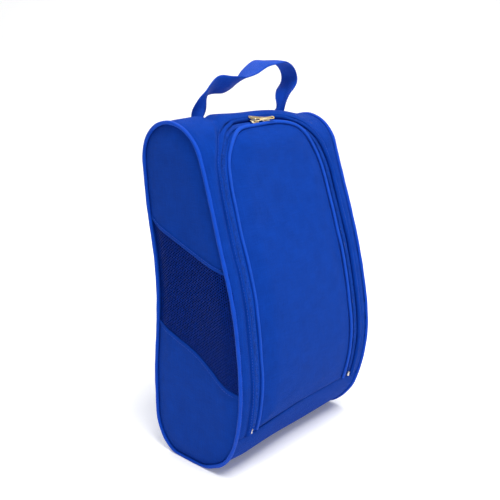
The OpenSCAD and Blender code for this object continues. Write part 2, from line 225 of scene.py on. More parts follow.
def fill_region(edge, spacing):
    """Triangles over the closed outline edge (n, 2): rows of points inside it, and its own points kept."""
    lo, hi = edge.min(0), edge.max(0)
    a, b = edge, np.roll(edge, -1, 0)
    inside = []
    row_h = spacing * math.sqrt(3) / 2
    for r, v in enumerate(np.arange(lo[1] + row_h / 2, hi[1], row_h)):
        u = np.arange(lo[0] + (r % 2) * spacing / 2, hi[0], spacing)
        p = np.stack([u, np.full_like(u, v)], -1)
        if not len(p):
            continue
        cross = ((a[:, 1] > v) != (b[:, 1] > v))
        with np.errstate(divide="ignore", invalid="ignore"):
            at = a[:, 0] + (v - a[:, 1]) * (b[:, 0] - a[:, 0]) / (b[:, 1] - a[:, 1])
        hits = np.sort(at[cross])
        odd = (np.searchsorted(hits, u) % 2) == 1
        d = edge_distance(p, edge)
        inside.append(p[odd & (d > spacing * 0.45)])
    pts = np.vstack([edge] + inside)
    n = len(edge)
    made = delaunay_2d_cdt([Vector(q) for q in pts], [(k, (k + 1) % n) for k in range(n)], [], 1, 1e-7)
    verts = np.array([tuple(v) for v in made[0]])
    return verts, [list(f) for f in made[2]]


def edge_distance(p, edge):
    a, b = edge, np.roll(edge, -1, 0)
    ab = b - a
    t = ((p[:, None] - a) * ab).sum(-1) / np.maximum((ab * ab).sum(-1), 1e-12)
    near = a + np.clip(t, 0, 1)[..., None] * ab
    return np.sqrt(((p[:, None] - near) ** 2).sum(-1)).min(1)


def cut_area(edge):
    """Area inside a closed outline, by the shoelace rule."""
    x, y = np.asarray(edge).T
    return abs(float(x @ np.roll(y, -1) - y @ np.roll(x, -1))) / 2


def sewn(edge):
    """Works out the area inside the outline edge of a cut panel, and does nothing with it."""
    cut_area(edge)


def face_uv(faces, uv):
    return [uv[k] for f in faces for k in f]


def thicken(obj, thickness, offset=-1.0):
    mod = obj.modifiers.new("thickness", "SOLIDIFY")
    mod.thickness = thickness
    mod.offset = offset
    mod.use_even_offset = False
    return obj


def finish_piece(obj, body, slot, material, *nodes):
    obj.data.materials.clear()
    obj.data.materials.append(material)
    if nodes:
        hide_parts(*nodes)
    if body:
        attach(obj, body)
    return obj


# ---------------------------------------------------------------- the arch that the door and zip follow
def arch_point(w, a):
    """Point (x, s) of the arch of half width w along a ray at angle a from its centre."""
    c, d = np.cos(a), np.sin(a)
    r = w / (np.abs(c) ** ARCH_N + np.abs(d) ** ARCH_N) ** (1 / ARCH_N)
    return r * c, ARCH + r * d


def half_width(x, s):
    """Half width of the line round the door that passes through (x, s)."""
    d = np.maximum(s - ARCH, 0)
    return (np.abs(x) ** ARCH_N + d ** ARCH_N) ** (1 / ARCH_N)


def track(w, start, n_side=90, n_arch=72):
    """Points (x, s) of the line at half width w, up the left side, over the arch and down the right."""
    rise = np.linspace(start, ARCH, n_side)
    x, s = arch_point(w, np.radians(np.linspace(180, 0, n_arch + 1))[1:-1])
    x = np.concatenate([np.full(n_side, -w), x, np.full(n_side, w)])
    s = np.concatenate([rise, s, rise[::-1]])
    return x, s


def track_length(w, start):
    return run_length(np.stack(track(w, start), -1))


def over_top(x, s, full=30, none=58):
    """1 over the top of the arch, fading to 0 down its shoulders."""
    off = np.abs(90 - np.degrees(np.arctan2(s - ARCH, x)))
    return 1 - smooth((off - full) / (none - full))


def arch_sweep(name, profile, start, wobble=0.0, seed=0.0, roll=(0, 0), hood=0.0):
    """Sweeps a closed profile of (half width, height) along the arch.

    roll moves the profile out and up over the top; hood pulls its raised part inwards on the shoulders."""
    t = track_length(TRACK_W, start)
    side = wobble * (np.sin(t * 61 + seed) + 0.6 * np.sin(t * 143 + 2 * seed))
    rise = wobble * 0.6 * np.sin(t * 87 + 3 * seed)
    cols = []
    for w, h in profile:
        x, s = track(w, start)
        cx, cs = track(w + 1 * MM, start)
        top = over_top(x, s)
        out = side + roll[0] * top - (hood * shoulder(x, s) if h > 1.3 * MM else 0)
        cols.append(place(x + out * (cx - x) / MM, s + out * (cs - s) / MM, h + rise + roll[1] * top))
    pts = soften(np.stack(cols, 1))
    around = run_length(np.array([*profile, profile[0]]))
    return grid_piece(name, pts, uv_grid(t, around), closed_cols=True, caps=True)


def shoulder(x, s):
    """1 on the arch's two shoulders, clear of the sliders' run."""
    off = np.abs(90 - np.degrees(np.arctan2(s - ARCH, x)))
    return smooth((off - 24) / 8) * (1 - smooth((off - 44) / 22))


def round_profile(w, h, r, n=12):
    turns = np.linspace(0, 2 * math.pi, n, endpoint=False)
    return [(w - r * math.cos(a), h + r * math.sin(a)) for a in turns]


# ---------------------------------------------------------------- materials
class Shader:
    """A material being built. Each call adds a node and gives back what comes out of it."""

    def __init__(self, name, colour, rough, metallic=0.0, sheen=0.0, specular=0.5):
        self.mat = bpy.data.materials.new(name)
        self.mat.use_nodes = True
        self.tree = self.mat.node_tree
        self.surface = self.tree.nodes["Principled BSDF"].inputs
        self.colour = colour
        uniform = {"Base Color": (*colour, 1), "Roughness": rough, "Metallic": metallic,
                   "Specular IOR Level": specular, "Sheen Weight": sheen, "Sheen Roughness": 0.45,
                   "Sheen Tint": (0.35, 0.55, 1.0, 1)}
        for key, value in uniform.items():
            self.surface[key].default_value = value

    def node(self, kind, inputs):
        """A node whose inputs are set to a value, or linked to another node's output."""
        node = self.tree.nodes.new("ShaderNode" + kind)
        for key, value in inputs.items():
            if isinstance(value, bpy.types.NodeSocket):
                self.tree.links.new(value, node.inputs[key])
            else:
                node.inputs[key].default_value = value
        return node

    def coords(self, kind):
        return self.node("TexCoord", {}).outputs[kind]

    def axes(self, vector):
        split = self.node("SeparateXYZ", {0: vector})
        return split.outputs["X"], split.outputs["Y"]

    def math(self, op, *values):
        node = self.node("Math", dict(enumerate(values)))
        node.operation = op
        return node.outputs[0]

    def add(self, a, b):
        return self.math("ADD", a, b)

    def times(self, a, b):
        return self.math("MULTIPLY", a, b)

    def ridges(self, a):
        """Rounded ridges, one to each whole number."""
        return self.math("ABSOLUTE", self.math("SINE", self.times(a, math.pi)))

    def noise(self, vector, scale, detail=2.0, rough=0.5):
        node = self.node("TexNoise", {"Scale": scale, "Detail": detail, "Roughness": rough, "Vector": vector})
        return node.outputs["Fac"]

    def scaled(self, vector, *scale):
        return self.node("Mapping", {"Scale": scale, "Vector": vector}).outputs["Vector"]

    def tone(self, share):
        return tuple(min(1.0, c * share) for c in self.colour)

    def paint(self, fac, *stops):
        """Base colour between two stops of (place, colour)."""
        ramp = self.node("ValToRGB", {"Fac": fac})
        for element, (at, colour) in zip(ramp.color_ramp.elements, stops):
            element.position = at
            element.color = (*colour, 1)
        self.tree.links.new(ramp.outputs["Color"], self.surface["Base Color"])

    def bump(self, height, distance):
        node = self.node("Bump", {"Distance": distance, "Strength": 1.0, "Height": height})
        self.tree.links.new(node.outputs["Normal"], self.surface["Normal"])


def woven(name, colour, thread, rough=0.8, sheen=0.03, rib=False, depth=0.12, contrast=0.16):
    """Plain weave or slanting ribs, from UVs in metres, with uneven threads and slow mottling."""
    m = Shader(name, colour, rough, sheen=sheen, specular=0.06)
    uv = m.coords("UV")
    u, v = (m.times(axis, 1 / thread) for axis in m.axes(uv))
    if rib:
        weave = m.ridges(m.add(m.times(u, 0.5), v))
    else:
        cell = m.add(m.math("FLOOR", u), m.math("FLOOR", v))
        over = m.math("ABSOLUTE", m.math("MODULO", cell, 2.0))
        under = m.math("SUBTRACT", 1.0, over)
        weave = m.add(m.times(m.ridges(u), over), m.times(m.ridges(v), under))
    fine, slow = 1 / (2 * thread), 60
    slub_u = m.noise(m.scaled(uv, fine, slow, 1), 1.0)
    slub_v = m.noise(m.scaled(uv, slow, fine, 1), 1.0)
    slubs = m.times(m.add(slub_u, slub_v), 0.5)
    mottle = m.noise(uv, 55.0, 3.0, 0.6)
    shade = m.add(m.times(slubs, 0.55), m.add(m.times(mottle, 0.25), m.times(weave, 0.2)))
    m.paint(shade, (0.30, m.tone(1 - contrast)), (0.68, m.tone(1 + contrast)))
    m.bump(m.add(weave, m.times(slubs, 0.8)), depth * MM)
    return m.mat


def satin(name, colour, rough):
    """Bias-cut trim cloth over a cord: tight slanting ribs and a soft gloss."""
    m = Shader(name, colour, rough, specular=0.1)
    uv = m.coords("UV")
    ribs = m.ridges(m.times(m.add(*m.axes(uv)), 1 / (0.55 * MM)))
    patch = m.noise(uv, 90.0)
    shade = m.add(m.times(ribs, 0.35), m.times(patch, 0.6))
    m.paint(shade, (0.2, m.tone(0.85)), (0.8, m.tone(1.12)))
    m.bump(m.add(ribs, patch), 0.08 * MM)
    return m.mat


def metal(name, colour, rough):
    """Plated zinc with fine scratches and worn, warmer patches."""
    m = Shader(name, colour, rough, metallic=1.0)
    pos = m.coords("Object")
    worn = m.noise(pos, 260.0, 3.0)
    scratch = m.noise(m.scaled(pos, 300, 4000, 4000), 1.0)
    brassy = (colour[0], colour[1] * 0.84, colour[2] * 0.52)
    m.paint(worn, (0.42, colour), (0.62, brassy))
    m.tree.links.new(m.add(m.times(scratch, 0.25), rough - 0.1), m.surface["Roughness"])
    m.bump(scratch, 0.02 * MM)
    return m.mat


def nylon(name, colour, specular=0.25):
    """Moulded coil and thread: smooth, with slight unevenness."""
    m = Shader(name, colour, 0.42, specular=specular)
    patch = m.noise(m.coords("Object"), 320.0)
    m.paint(patch, (0.35, m.tone(0.8)), (0.65, m.tone(1.15)))
    m.bump(patch, 0.05 * MM)
    return m.mat


CLOTH = woven("bag_cloth", (0.0018, 0.040, 0.315), 0.46 * MM, contrast=0.30)
TRIM = satin("trim_satin", (0.006, 0.070, 0.50), 0.6)
PIPING = satin("piping_satin", (0.003, 0.062, 0.50), 0.5)
TAPE = woven("zip_tape_cloth", (0.003, 0.052, 0.38), 0.7 * MM, rough=0.7, sheen=0.0, rib=True, depth=0.16)
WEBBING = woven("webbing_cloth", (0.006, 0.058, 0.43), 0.9 * MM, rough=0.55, rib=True, depth=0.2)
BINDING = woven("binding_cloth", (0.003, 0.028, 0.21), 0.8 * MM, rib=True)
MESH_NET = nylon("vent_net", (0.0008, 0.018, 0.185), specular=0.03)
COIL = nylon("coil_nylon", (0.004, 0.060, 0.42), specular=0.12)
THREAD = nylon("thread", (0.008, 0.062, 0.44))
METAL = metal("slider_metal", (0.78, 0.74, 0.66), 0.32)
TAB_METAL = metal("tab_metal", (0.80, 0.66, 0.38), 0.30)


# ---------------------------------------------------------------- floor, light and camera
VIEW_TURN, VIEW_PITCH, VIEW_ROLL = -46.2, 16.39, -1.14


def studio():
    scene.view_settings.view_transform = "Standard"
    world = scene.world or bpy.data.worlds.new("world")
    scene.world = world
    world.use_nodes = True
    back = world.node_tree.nodes["Background"]
    back.inputs["Color"].default_value = (0.95, 0.97, 1.0, 1)
    back.inputs["Strength"].default_value = 0.41
    bend = [(1.6 + math.sin(a), 1.0 - math.cos(a)) for a in np.linspace(0, math.pi / 2, 14)]
    curve = [(-3.0, 0.0), *bend, (2.6, 4.0)]
    wide = np.array([cos(VIEW_TURN), sin(VIEW_TURN), 0])
    deep = np.array([-sin(VIEW_TURN), cos(VIEW_TURN), 0])
    pts = np.array([[wide * x + deep * d + [0, 0, z - 0.2 * MM] for x in (-5, 5)] for d, z in curve])
    floor = grid_piece("studio_floor", pts, np.zeros((len(curve), 2, 2)))
    m = Shader("pale_floor", (0.97, 0.97, 0.97), 0.9, specular=0.1)
    m.bump(m.noise(m.coords("Object"), 30.0), 0.05 * MM)
    m.surface["Emission Color"].default_value = (1, 1, 1, 1)
    m.surface["Emission Strength"].default_value = 0.14
    floor.data.materials.append(m.mat)
    for name, loc, aim, size, power, colour in (
        ("key", (-0.20, -0.9, 2.2), (0, 0, 0.2), 1.1, 55, (1.0, 0.99, 0.97)),
        ("back", (0.5, 1.3, 1.9), (0, 0, 0.25), 1.4, 16, (1, 1, 1)),
    ):
        light = bpy.data.lights.new(name, "AREA")
        light.energy = power
        light.size = size
        light.color = colour
        obj = bpy.data.objects.new(name, light)
        obj.location = loc
        obj.rotation_euler = (Vector(aim) - Vector(loc)).to_track_quat("-Z", "Y").to_euler()
        scene.collection.objects.link(obj)


def camera():
    """A long lens a metre to the front left, a little above the bag."""
    cam = bpy.data.cameras.new("camera")
    cam.sensor_width = 36
    cam.lens = 57.5
    obj = bpy.data.objects.new("camera", cam)
    turn, tip, roll = (math.radians(a) for a in (VIEW_TURN, 90 - VIEW_PITCH, VIEW_ROLL))
    obj.matrix_world = (Matrix.Translation((-0.6349, -0.5900, 0.4812)) @ Matrix.Rotation(turn, 4, "Z")
                        @ Matrix.Rotation(tip, 4, "X") @ Matrix.Rotation(roll, 4, "Z"))
    scene.collection.objects.link(obj)
    scene.camera = obj


studio()
camera()


# ---------------------------------------------------------------- side walls
SIDE_TUCK = 0.4 * MM         # the side cloth ends this far inside the outline, under the piping
VENT_TOP = np.array([(-2, 284), (16, 274), (45, 262), (75, 250), (100, 242), (121, 237), (145, 233)]) * MM
VENT_LOW = np.array([(-6, 170), (15, 163), (46, 151), (77, 139), (96, 127.5), (109, 118.5), (122, 113),
                     (146, 109)]) * MM


def ease_curve(points, u):
    """A smooth curve through a few points, given as height over depth."""
    x, y = points[:, 0], points[:, 1]
    slope = np.gradient(y, x)
    k = np.clip(np.searchsorted(x, u) - 1, 0, len(x) - 2)
    h = x[k + 1] - x[k]
    t = (u - x[k]) / h
    return ((2 * t ** 3 - 3 * t ** 2 + 1) * y[k] + (t ** 3 - 2 * t ** 2 + t) * h * slope[k]
            + (3 * t ** 2 - 2 * t ** 3) * y[k + 1] + (t ** 3 - t ** 2) * h * slope[k + 1])


def side_edge(tuck=SIDE_TUCK):
    s = np.linspace(0, GIRTH, 300, endpoint=False)
    p = place(0, s, -tuck)
    return np.stack([MID - p[:, 1], p[:, 2]], -1)


SIDE_EDGE = side_edge()


def vent_height(points, u):
    return ease_curve(points, u) - BASE_CUT


def cut_edge(keep):
    """The part of the side outline where keep(u, z) holds, closed along the vent's edge."""
    mask = keep(SIDE_EDGE[:, 0], SIDE_EDGE[:, 1])
    start = int(np.argmax(mask & ~np.roll(mask, 1)))
    ring = np.roll(SIDE_EDGE, -start, 0)
    return ring[:int(mask.sum())]


def vent_line(points, a, b, n=34):
    """Points on a vent edge from the outline point a to the outline point b."""
    u = np.linspace(a[0], b[0], n)
    return np.stack([u, vent_height(points, u)], -1)


def side_bulge(u, z):
    p = np.stack([u, z], -1)
    d = edge_distance(p, SIDE_EDGE[::3])
    pillow = 3.0 * MM * smooth(d / (20 * MM)) - 0.8 * MM * np.exp(-d / (3 * MM))
    hollow = -2.6 * MM * np.exp(-(((u - 0.07) / 0.045) ** 2 + ((z - 0.20) / 0.09) ** 2))
    waves = 0.5 * MM * np.sin(52 * u + 21 * z + 0.8) * np.sin(33 * z - 15 * u)
    return pillow + hollow + waves * smooth(d / (15 * MM))


def side_point(sign, u, z, out):
    x = sign * (HALF - 0.8 * MM + side_bulge(u, z) + out)
    return soften(np.stack([x, MID - u, z], -1))


def side_cloth(name, sign, edge, node):
    verts, faces = fill_region(edge, 4.0 * MM)
    if sign > 0:
        faces = [f[::-1] for f in faces]
    pts = side_point(sign, verts[:, 0], verts[:, 1], 0.0)
    obj = mesh_piece(name, pts, faces, face_uv(faces, verts))
    face_out(obj, (sign, 0, 0))
    thicken(obj, 1.6 * MM)
    sewn(edge)
    return finish_piece(obj, "bag", "cloth", CLOTH, node)


def face_out(obj, direction):
    """Turns the whole sheet over if it faces away from direction."""
    mesh = obj.data
    total = Vector()
    for p in mesh.polygons:
        total += p.normal * p.area
    if total.dot(Vector(direction)) < 0:
        mesh.flip_normals()


def vent_hem(name, sign, line, width, lift):
    """A folded edge: a rounded strip along a line on the side wall, centred on it."""
    d = unit(np.gradient(line, axis=0))
    nrm = np.stack([-d[:, 1], d[:, 0]], -1)
    shape = [(-0.5, -0.3), (-0.42, 0.65), (-0.2, 1.0), (0.2, 1.0), (0.42, 0.65), (0.5, -0.3)]
    cols = []
    for a, b in shape:
        q = line + nrm * width * a
        cols.append(side_point(sign, q[:, 0], q[:, 1], lift * b))
    uv = uv_grid(run_length(line), np.linspace(0, width * 1.2, len(shape) + 1))
    obj = grid_piece(name, np.stack(cols, 1), uv, closed_cols=True, caps=True)
    return finish_piece(obj, "bag", "cloth", CLOTH)


def face_out_closed(obj):
    """Turns a closed solid's faces outwards."""
    mesh = obj.data
    volume = 0.0
    co = np.array([v.co for v in mesh.vertices])
    for p in mesh.polygons:
        k = list(p.vertices)
        for i in range(1, len(k) - 1):
            volume += np.dot(co[k[0]], np.cross(co[k[i]], co[k[i + 1]]))
    if volume < 0:
        mesh.flip_normals()


def stitches(name, pts, out, body, length=2.4 * MM, gap=0.9 * MM, radius=0.28 * MM):
    """A row of thread dashes along pts, each a small rounded bar standing out along out."""
    t = run_length(pts)
    starts = np.arange(gap, t[-1] - length, length + gap)
    rings = [(0.0, 0.25, 0.15), (0.15, 0.85, 0.75), (0.5, 1.0, 1.0), (0.85, 0.85, 0.75), (1.0, 0.25, 0.15)]
    verts, faces = [], []
    for a in starts:
        at = a + length * np.array([r[0] for r in rings])
        c = np.stack([np.interp(at, t, pts[:, k]) for k in range(3)], -1)
        n = unit(np.stack([np.interp(at, t, out[:, k]) for k in range(3)], -1))
        d = unit(c[-1] - c[0])
        b = np.cross(np.broadcast_to(d, n.shape), n)
        base = len(verts)
        for k, (_, size, rise) in enumerate(rings):
            for q in range(6):
                ang = q * math.pi / 3
                verts.append(c[k] + radius * size * (b[k] * math.cos(ang) * 1.3 + n[k] * math.sin(ang))
                             + n[k] * radius * (rise - 0.4))
        faces += ring_faces(len(rings), 6, base)
    obj = mesh_piece(name, verts, faces, [verts[k][:2] for f in faces for k in f])
    face_out_closed(obj)
    return finish_piece(obj, body, "trim", THREAD)


def vent_net(name, sign, region, node):
    """Knitted net with real holes: hexagon cells of thread, cupped a little round each hole."""
    pitch, hole = 2.9 * MM, 0.84 * MM
    row_h = pitch * math.sqrt(3) / 2
    lo, hi = region.min(0), region.max(0)
    tilt = math.radians(-21)
    turn = np.array([[math.cos(tilt), math.sin(tilt)], [-math.sin(tilt), math.cos(tilt)]])
    mid = (lo + hi) / 2
    reach = np.linalg.norm(hi - lo) / 2
    n = int(reach / row_h) + 1
    count = range(-n, n + 1)
    flat = np.array([((c + 0.5 * (r % 2)) * pitch, r * row_h) for r in count for c in count])
    cells = mid + flat @ turn
    cells = cells[inside_region(cells, region)]
    ring = np.radians(np.arange(6) * 60 + 30)
    corner = np.stack([np.cos(ring), np.sin(ring)], -1) @ turn
    outer = pitch / math.sqrt(3)
    pts2, lift, faces = [], [], []
    for k, c in enumerate(cells):
        base = k * 18
        pts2 += [c + q * r for r in (outer, hole + 0.2 * MM, hole) for q in corner]
        lift += [0.0] * 6 + [0.18 * MM] * 6 + [-0.1 * MM] * 6
        for q in range(6):
            r = (q + 1) % 6
            faces.append([base + q, base + r, base + 6 + r, base + 6 + q])
            faces.append([base + 6 + q, base + 6 + r, base + 12 + r, base + 12 + q])
    pts2 = np.array(pts2)
    pts = side_point(sign, pts2[:, 0], pts2[:, 1], np.array(lift) - 0.5 * MM)
    obj = mesh_piece(name, pts, faces, face_uv(faces, pts2))
    face_out(obj, (sign, 0, 0))
    weld(obj, 0.05 * MM)
    thicken(obj, 1.0 * MM)
    sewn(region)
    return finish_piece(obj, "bag", "mesh", MESH_NET, node)


def weld(obj, distance):
    bm = bmesh.new()
    bm.from_mesh(obj.data)
    bmesh.ops.remove_doubles(bm, verts=bm.verts, dist=distance)
    bm.to_mesh(obj.data)
    bm.free()


def inside_region(p, edge):
    a, b = edge, np.roll(edge, -1, 0)
    crossing = (a[:, 1] > p[:, None, 1]) != (b[:, 1] > p[:, None, 1])
    with np.errstate(divide="ignore", invalid="ignore"):
        at = a[:, 0] + (p[:, None, 1] - a[:, 1]) * (b[:, 0] - a[:, 0]) / (b[:, 1] - a[:, 1])
    return ((crossing & (p[:, None, 0] < at)).sum(1) % 2) == 1


BAG_MIDDLE = 0.06            # depth that is past the back outline and short of the front one


def in_band(u, z):
    return (z <= vent_height(VENT_TOP, u) + 1 * MM) & (z >= vent_height(VENT_LOW, u) - 1 * MM)


def side_wall(sign, side):
    upper = cut_edge(lambda u, z: z > vent_height(VENT_TOP, u))
    lower = cut_edge(lambda u, z: z < vent_height(VENT_LOW, u))
    top_line = vent_line(VENT_TOP, upper[-1], upper[0])
    low_line = vent_line(VENT_LOW, lower[-1], lower[0])
    for label, edge, line in (("upper", upper, top_line), ("lower", lower, low_line)):
        cut = np.vstack([edge, line[1:-1]])
        side_cloth(f"side_cloth_{side}_{label}", sign, cut, f"side_panel_{side}_{label}")
    band = cut_edge(lambda u, z: in_band(u, z) & (u > BAG_MIDDLE))
    back = cut_edge(lambda u, z: in_band(u, z) & (u < BAG_MIDDLE))
    grow = np.array([0, 1.5 * MM])
    region = np.vstack([band, vent_line(VENT_TOP, band[-1], back[0]) + grow, back,
                        vent_line(VENT_LOW, back[-1], band[0]) - grow])
    vent_net(f"vent_net_{side}", sign, region, f"side_mesh_{side}")
    for label, line, up in (("top", top_line, 1), ("low", low_line, -1)):
        order = line[np.argsort(line[:, 0])]
        inner = order + np.array([0, up * 1.6 * MM])
        vent_hem(f"vent_hem_{side}_{label}", sign, inner, 5.0 * MM, 0.9 * MM)
        seam = order[2:-2] + np.array([0, up * 3.2 * MM])
        p = side_point(sign, seam[:, 0], seam[:, 1], 0.75 * MM)
        out = np.tile([sign, 0.0, 0.0], (len(p), 1))
        stitches(f"vent_stitch_{side}_{label}", p, out, "bag")


def side_piping(sign, side):
    n, m = 420, 14
    s = np.linspace(0, GIRTH, n, endpoint=False)
    r = 0.9 * PIPING_R + 0.15 * MM * np.sin(s * 210) * np.sin(s * 57)
    a = np.linspace(0, 2 * math.pi, m, endpoint=False)
    x = sign * (HALF - r[:, None] * np.cos(a))
    pts = soften(place(x, s[:, None], r[:, None] * np.sin(a)))
    uv = uv_grid(np.linspace(0, GIRTH, n + 1), np.linspace(0, 2 * math.pi * PIPING_R, m + 1))
    obj = grid_piece(f"piping_cord_{side}", pts, uv, closed_rows=True, closed_cols=True)
    finish_piece(obj, "bag", "trim", PIPING, f"piping_{side}")


for sign, side in ((-1, "left"), (1, "right")):
    side_wall(sign, side)
    side_piping(sign, side)


# ---------------------------------------------------------------- cloth round the bag
WRAP_HALF = HALF - 1.1 * MM          # the wrap ends inside the piping


def wrap_puff(x, s, edge_w=WRAP_HALF):
    """Height of the wrap off its plain face: pulled in along the piping and a little loose between."""
    d = edge_w - np.abs(x)
    waves = 0.9 * MM * np.sin(17 * x + 29 * s + 0.5) * np.sin(23 * s) + 0.4 * MM * np.sin(61 * s - 33 * x)
    return -1.0 * MM * np.exp(-d / (3.5 * MM)) + waves * smooth(d / (30 * MM))


def wrap_panel(name, s0, s1, rows, cols, puff, node):
    s = np.linspace(s0, s1, rows)
    t = np.linspace(-1, 1, cols)
    x = WRAP_HALF * np.sign(t) * (1 - (1 - np.abs(t)) ** 1.25)
    ss, xx = np.meshgrid(s, x, indexing="ij")
    pts = soften(place(xx, ss, puff(xx, ss)))
    obj = grid_piece(name, pts, np.stack([xx, ss], -1))
    face_out(obj, (0, 1, 0) if s0 > TOP_SEAM - 1e-6 else (0, 0, -1))
    thicken(obj, 1.6 * MM)
    return finish_piece(obj, "bag", "cloth", CLOTH, node)


def seam_dip(s, at, width=2.5 * MM, depth=1.3 * MM):
    return -depth * np.exp(-np.abs(s - at) / width)


def back_puff(x, s):
    ends = smooth((s - TOP_SEAM) / 0.05) * smooth((BACK_SEAM - s) / 0.07)
    belly = 10.5 * MM * np.exp(-((s - 0.685) / 0.095) ** 2) * (1 - np.abs(x / WRAP_HALF) ** 30) * ends
    return wrap_puff(x, s) + belly + seam_dip(s, TOP_SEAM) + seam_dip(s, BACK_SEAM)


def bottom_puff(x, s):
    return np.minimum(wrap_puff(x, s) + seam_dip(s, DOOR_SEAM) + seam_dip(s, BACK_SEAM - GIRTH),
                      1.0 * MM)


wrap_panel("back_cloth", TOP_SEAM, BACK_SEAM, 110, 60, back_puff, "back_panel")
wrap_panel("bottom_cloth", BACK_SEAM - GIRTH, DOOR_SEAM, 90, 60, bottom_puff, "bottom_panel")


def frame_edge(a):
    """Outer edge of the door's frame along a ray at angle a from the arch's centre."""
    corner = math.atan2(TOP_SEAM - ARCH, WRAP_HALF)
    if a < corner:
        return WRAP_HALF, ARCH + WRAP_HALF * math.tan(a)
    if a > math.pi - corner:
        return -WRAP_HALF, ARCH - WRAP_HALF * math.tan(a)
    return (TOP_SEAM - ARCH) / math.tan(a), TOP_SEAM


def frame_puff(x, s):
    """The frame cloth is pulled in at the piping and the zip, and stands over the zip at the upper left."""
    w = half_width(x, s)
    d_side = WRAP_HALF - np.abs(x)
    d_zip = w - (LIP_IN + 2 * MM)
    low = np.minimum(d_side, d_zip)
    base = -1.0 * MM * np.exp(-d_side / (2.5 * MM)) - 0.6 * MM * np.exp(-np.maximum(d_zip, 0) / (3 * MM))
    puff = 1.4 * MM * smooth(low / (8 * MM))
    angle = np.degrees(np.arctan2(s - ARCH, x))
    hood = np.exp(-((angle - 138) / 20) ** 2) * np.exp(-((w - 98.5 * MM) / (6 * MM)) ** 2)
    meet = 3.6 * MM * over_top(x, s, 40, 66) * np.exp(-np.maximum(w - 92.5 * MM, 0) / (9 * MM))
    crease = np.exp(-((x + 0.078 - 0.46 * (s - 0.415)) / (5 * MM)) ** 2) * smooth((s - 0.40) / 0.02)
    crown = 2.0 * MM * np.exp(-((s - 0.452) / 0.02) ** 2) * np.cos(np.clip(x / 0.1, -1, 1) * math.pi / 2)
    waves = 0.8 * MM * np.sin(21 * x + 31 * s + 1.2) * np.sin(27 * s + 0.4) * smooth(d_side / (15 * MM))
    seams = seam_dip(s, TOP_SEAM) + seam_dip(s, DOOR_SEAM)
    return base + puff + 5.0 * MM * hood + meet - 3.2 * MM * crease + crown + waves + seams


def front_frame():
    n_side, n_arch, cols = 90, 96, 20
    inner_w = LIP_IN + 2 * MM
    rise = np.linspace(DOOR_SEAM, ARCH, n_side)
    rows = [((-inner_w, s), (-WRAP_HALF, s)) for s in rise]
    corner = math.atan2(TOP_SEAM - ARCH, WRAP_HALF)
    left = np.linspace(math.pi, math.pi - corner, n_arch // 4 + 1)[1:]
    top = np.linspace(math.pi - corner, corner, n_arch // 2 + 1)[1:]
    right = np.linspace(corner, 0, n_arch // 4 + 1)[1:-1]
    for a in np.concatenate([left, top, right]):
        rows.append((arch_point(inner_w, a), frame_edge(a)))
    rows += [((inner_w, s), (WRAP_HALF, s)) for s in rise[::-1]]
    rows = np.array(rows)
    t = np.linspace(0, 1, cols)[None, :, None]
    xs = rows[:, :1] * (1 - t) + rows[:, 1:] * t
    pts = soften(place(xs[..., 0], xs[..., 1], frame_puff(xs[..., 0], xs[..., 1])))
    obj = grid_piece("frame_cloth", pts, xs)
    face_out(obj, (0, -1, 0.3))
    thicken(obj, 1.6 * MM)
    area = cut_area(rows[:, 1]) - cut_area(rows[:, 0])
    finish_piece(obj, "bag", "cloth", CLOTH, "front_gusset")


front_frame()


# ---------------------------------------------------------------- door
ROLL_OUT, ROLL_UP = 2.4 * MM, 4.0 * MM      # the stuffed door's edge rolls over the zip at the top


def door_distance(x, s):
    return np.minimum(DOOR_PIPING_W - half_width(x, s), s - DOOR_SEAM)


def door_puff(x, s):
    d = door_distance(x, s)
    pillow = 3.4 * MM * smooth(d / (26 * MM)) - 1.3 * MM * np.exp(-d / (2.5 * MM))
    slow = (2.1 * MM * np.sin(14 * x + 19 * s + 0.9) * np.sin(16 * s + 0.3)
            + 0.5 * MM * np.sin(39 * x - 27 * s + 2.0))
    fold = -1.6 * MM * np.exp(-((s - 0.335 - 0.25 * x) / (11 * MM)) ** 2) * np.exp(-((x + 0.03) / 0.06) ** 2)
    lift = ROLL_UP * over_top(x, s) * smooth((s - 0.385) / 0.035)
    return pillow + lift + (slow + fold) * smooth(d / (18 * MM))


def door_cloth():
    w = DOOR_PIPING_W - 0.6 * MM
    x, s = track(w, DOOR_SEAM + 0.4 * MM, 70, 60)
    base = np.linspace(w, -w, 42)[1:-1]
    edge = np.vstack([np.stack([x, s], -1), np.stack([base, np.full_like(base, DOOR_SEAM + 0.4 * MM)], -1)])
    verts, faces = fill_region(edge, 4.0 * MM)
    dx, ds = verts[:, 0], verts[:, 1] - ARCH
    r = np.maximum(np.hypot(dx, ds), 1 * MM)
    out = 1 + ROLL_OUT * over_top(dx, verts[:, 1]) * smooth((r - 0.05) / 0.025) / r
    pts = soften(place(dx * out, ARCH + ds * out, door_puff(dx, verts[:, 1])))
    obj = mesh_piece("door_cloth", pts, faces, face_uv(faces, verts))
    face_out(obj, (0, -1, 0))
    thicken(obj, 1.6 * MM)
    sewn(edge)
    finish_piece(obj, "door", "cloth", CLOTH, "door_panel")


def hinge_cloth():
    """The fold that joins the door to the bottom panel along the seam."""
    s = np.linspace(DOOR_SEAM - 7 * MM, DOOR_SEAM + 9 * MM, 13)
    x = np.linspace(-TRACK_W + 1 * MM, TRACK_W - 1 * MM, 50)
    ss, xx = np.meshgrid(s, x, indexing="ij")
    pts = soften(place(xx, ss, -2.2 * MM))
    obj = grid_piece("door_fold", pts, np.stack([xx, ss], -1))
    face_out(obj, (0, -1, 0))
    thicken(obj, 0.6 * MM)
    finish_piece(obj, None, "cloth", CLOTH)
    a, b = place(0, DOOR_SEAM - 5 * MM, 0), place(0, DOOR_SEAM + 7 * MM, 0)
    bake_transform(obj)


